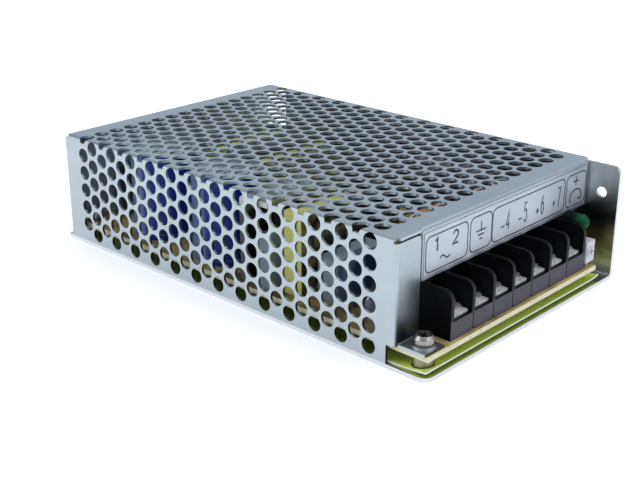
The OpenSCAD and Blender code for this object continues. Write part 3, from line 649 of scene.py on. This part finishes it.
film_low, film_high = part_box("insulating_sheet")
film_t = film_high[2] - film_low[2]
LIFT = 0.75 * MM
LIFT_L = 9 * MM
END_L = 6 * MM
CUT = 1 * MM
# x, y and radius in millimetres: four round the spacers, then four over the tapped holes
HOLES = [(74, -42.8, 3.3), (-71, -42.8, 3.3), (-71, 34.5, 3.3), (57.2, 35.5, 3.3),
         (60, -28, 3.5), (60, 28, 3.5), (-60, -28, 3.5), (-60, 28, 3.5)]


def lifted(x, y):
    """Height that the film's front and its right end rise above the floor."""
    front_share = max(0.0, (x - (film_high[0] - LIFT_L)) / LIFT_L)
    end_share = max(0.0, (y - (film_high[1] - END_L)) / END_L)
    return LIFT * front_share ** 1.6 * (1 + 0.7 * end_share ** 2)


sheet = bmesh.new()
loops = [[(film_low[0], film_low[1]), (film_high[0], film_low[1]), (film_high[0], film_high[1]),
          (film_low[0], film_high[1])]]
loops += [arc((x * MM, y * MM), (r * MM, r * MM), 0, 337.5, 15) for x, y, r in HOLES]
for loop in loops:
    corners = [sheet.verts.new((x, y, 0)) for x, y in loop]
    for k, corner in enumerate(corners):
        sheet.edges.new((corner, corners[(k + 1) % len(corners)]))
bmesh.ops.triangle_fill(sheet, edges=sheet.edges[:], use_beauty=True)
for axis, edge, cuts in (((1, 0, 0), film_high[0], 11), ((0, 1, 0), film_high[1], 6)):
    for k in range(1, cuts + 1):
        place = Vector(axis) * (edge - k * CUT)
        geometry = sheet.verts[:] + sheet.edges[:] + sheet.faces[:]
        bmesh.ops.bisect_plane(sheet, geom=geometry, plane_co=place, plane_no=axis)
solid = bmesh.ops.extrude_face_region(sheet, geom=sheet.faces[:])
raised = [v for v in solid["geom"] if isinstance(v, bmesh.types.BMVert)]
for v in sheet.verts:
    v.co.z = film_low[2] + lifted(v.co.x, v.co.y)
for v in raised:
    v.co.z += film_t
piece("insulating_film", sheet, finishes["insulating_film"], replaced="insulating_sheet")


# Liner: a thin slate-grey sheet inside the cover's rear flange, down past the board's top, which gives
# the flange's inside its slate tone

COVER_T = 0.8 * MM
LINER_T = 0.3 * MM
LINER_Y = (-44.5, 40.0)
LINER_TOP = 34.5
LINER_BELOW = 0.8
LINER_R = 1.2
liner_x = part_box("mesh_cover")[0][0] + COVER_T
board_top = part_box("circuit_board")[1][2]


def on_flange(y, z, w):
    return Vector((liner_x + w, y * MM, z * MM))


liner = bmesh.new()
liner_low = (LINER_Y[0], board_top / MM - LINER_BELOW)
slab(liner, rounded(liner_low, (LINER_Y[1], LINER_TOP), LINER_R, 3), on_flange, LINER_T)
liner_finish = moulded("liner_card", (0.22, 0.24, 0.29), 0.5, 0.1, 500, 0.2)
piece("rear_liner", liner, liner_finish)


# Output choke: one round wire wound on the ring, its start led down to the board

ring_low, ring_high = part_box("output_choke_ring")
centre = (Vector(ring_low) + Vector(ring_high)) / 2
CORE_WALL = 2.4 * MM
WIRE_R = 0.58 * MM
CLEAR = 0.05 * MM
TURNS = 20
STEPS = 24
START = -0.47 * math.pi
WOUND_ANGLE = 0.96 * 2 * math.pi
SQUARENESS = 0.45
half_radial = CORE_WALL / 2 + WIRE_R + CLEAR
half_width = (ring_high[0] - ring_low[0]) / 2 + WIRE_R + CLEAR
mid_r = (ring_high[1] - ring_low[1] - CORE_WALL) / 2


def squared(value):
    """Sine or cosine, pushed out so that a turn follows the core's square section."""
    return math.copysign(abs(value) ** SQUARENESS, value)


coil = []
for k in range(TURNS * STEPS + 1):
    round_ring = START + WOUND_ANGLE * k / (TURNS * STEPS)
    round_core = 2 * math.pi * k / STEPS
    reach = mid_r + half_radial * squared(math.cos(round_core))
    offset = half_width * squared(math.sin(round_core))
    coil.append(centre + Vector((offset, reach * math.cos(round_ring), reach * math.sin(round_ring))))
foot = coil[0].copy()
foot.z = board_top
winding = bmesh.new()
tube(winding, [foot] + coil, WIRE_R)
copper = moulded("copper_turns", COPPER, 0.22, 0.2, 400, 0.15, Coat_Weight=0.6)
piece("choke_wire", winding, copper, replaced="output_choke_winding", smooth=True)


# Capacitor lids: a scored cross on each sunk lid, places and sizes in millimetres

SUNK = 0.4
SCORE_W = 0.35
SCORE_T = 0.04 * MM
SCORE_SHARE = 0.62
BULK_LID_R = 9.8
OUTPUT_LID_R = 3.9
OUTPUT_LIDS = [(50.5, -13), (50.5, -1.5), (50.5, 18.5), (49.5, 29.5)]
score_finish = bright("lid_score", (0.24, 0.25, 0.26), 0.35, metal=0.8)


def lid_marks(name, node, places, radius):
    lid_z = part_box(node)[1][2] - SUNK * MM
    half = SCORE_SHARE * radius
    marks = bmesh.new()
    for x, y in places:
        for lean in (half, -half):
            ribbon(marks, [(x - half, y - lean), (x + half, y + lean)], SCORE_W,
                   lambda u, v, w: Vector((u * MM, v * MM, lid_z + w)), SCORE_T)
    piece(name, marks, score_finish)


for number in (1, 2):
    can = "bulk_capacitor_%d" % number
    low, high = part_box(can)
    middle = ((low[0] + high[0]) / 2 / MM, (low[1] + high[1]) / 2 / MM)
    lid_marks("bulk_lid_%d" % number, can, [middle], BULK_LID_R)
lid_marks("output_lids", "output_capacitors", OUTPUT_LIDS, OUTPUT_LID_R)


# Silicone that holds tall parts on the board: middle and half sizes of each blob in millimetres

BLOBS = [((-29.3, -26.0, 9.5), (3.6, 6.0, 5.5)), ((0.2, -25.0, 9.0), (3.0, 4.0, 4.5)),
         ((-12.0, 24.0, 9.0), (5.5, 4.0, 5.0)), ((44.0, 1.5, 8.5), (1.6, 3.0, 3.2))]


def blob(bm, middle, halves, seed):
    """Uneven ball, cut off flat at the board's top."""
    made = bmesh.ops.create_icosphere(bm, subdivisions=3, radius=1)
    for v in made["verts"]:
        swell = 1 + 0.28 * noise.noise(v.co * 1.6 + Vector((seed, seed, seed)))
        v.co = (Vector(middle) + v.co * Vector(halves) * swell) * MM
        v.co.z = max(v.co.z, board_top)


silicone = bmesh.new()
for seed, (middle, halves) in enumerate(BLOBS, 1):
    blob(silicone, middle, halves, seed)
silicone_finish = moulded("silicone", (0.58, 0.57, 0.50), 0.4, 0.06, 250, 0.3, Subsurface_Weight=0.2)
piece("silicone", silicone, silicone_finish, smooth=True)


# Camera: solved from the photo's hole grid and corners, with its three directions

FOCAL_PX = 1115.18
FRAME_PX = 640
SENSOR_MM = 36.0
EYE = Vector((0.2355776, -0.2572670, 0.1430463))
RIGHT = Vector((0.7323722, 0.6809044, -0.0003095))
DOWN = Vector((0.2492223, -0.2684832, -0.9304864))
AHEAD = Vector((-0.6336554, 0.6813853, -0.3663262))

camera_data = bpy.data.cameras.new("camera")
camera_data.sensor_width = SENSOR_MM
camera_data.lens = FOCAL_PX / FRAME_PX * SENSOR_MM
camera_data.clip_start = 0.01
camera = bpy.data.objects.new("camera", camera_data)
bpy.context.scene.collection.objects.link(camera)
camera.matrix_world = Matrix((
    (RIGHT.x, -DOWN.x, -AHEAD.x, EYE.x),
    (RIGHT.y, -DOWN.y, -AHEAD.y, EYE.y),
    (RIGHT.z, -DOWN.z, -AHEAD.z, EYE.z),
    (0, 0, 0, 1),
))
bpy.context.scene.camera = camera


# Soft studio light and a pale floor

def area_light(name, place, aim, size, power):
    data = bpy.data.lights.new(name, "AREA")
    data.shape = "RECTANGLE"
    data.size, data.size_y = size
    data.energy = power
    lamp = bpy.data.objects.new(name, data)
    lamp.location = place
    lamp.rotation_euler = (Vector(aim) - Vector(place)).to_track_quat("-Z", "Y").to_euler()
    bpy.context.scene.collection.objects.link(lamp)


area_light("overhead", (0.15, 0.1, 1.1), (0, 0, 0), (1.6, 1.6), 8)
area_light("left_box", (-0.75, -0.95, 0.5), (0, 0, 0.02), (1.0, 0.8), 5)
area_light("front_box", (1.0, 0.15, 0.55), (0.05, 0, 0.02), (0.9, 0.7), 2)

world = bpy.data.worlds.new("world")
bpy.context.scene.world = world
world.use_nodes = True
tree = world.node_tree
sky = tree.nodes["Background"]
direction = tree.nodes.new("ShaderNodeTexCoord")
split = tree.nodes.new("ShaderNodeSeparateXYZ")
ramp = tree.nodes.new("ShaderNodeValToRGB")
tree.links.new(direction.outputs["Generated"], split.inputs["Vector"])
tree.links.new(split.outputs["Z"], ramp.inputs["Fac"])
tree.links.new(ramp.outputs["Color"], sky.inputs["Color"])
stops = ramp.color_ramp.elements
stops[0].color = (0.95, 0.95, 0.95, 1)
stops[1].color = (0.9, 0.9, 0.9, 1)
for height, tone in ((0.2, (0.60, 0.70, 0.84, 1)), (0.6, (0.72, 0.78, 0.84, 1))):
    stops.new(height).color = tone
sky.inputs["Strength"].default_value = 0.85

FLOOR_HALF = 6
FLOOR_DROP = 0.05 * MM
ground = bmesh.new()
bmesh.ops.create_grid(ground, x_segments=1, y_segments=1, size=FLOOR_HALF)
look = Graph("floor_look")
floor_tone = look.mottle(3, 2, (0.95, 0.95, 0.96), (0.97, 0.97, 0.97))
floor_finish = look.finish(floor_tone, 0.7, Emission_Color=(1, 1, 1, 1), Emission_Strength=0.12)
floor_mesh = bpy.data.meshes.new("floor")
ground.to_mesh(floor_mesh)
ground.free()
floor_mesh.materials.append(floor_finish)
floor = bpy.data.objects.new("floor", floor_mesh)
floor.location.z = -FLOOR_DROP
bpy.context.scene.collection.objects.link(floor)

bpy.context.scene.view_settings.view_transform = "Standard"
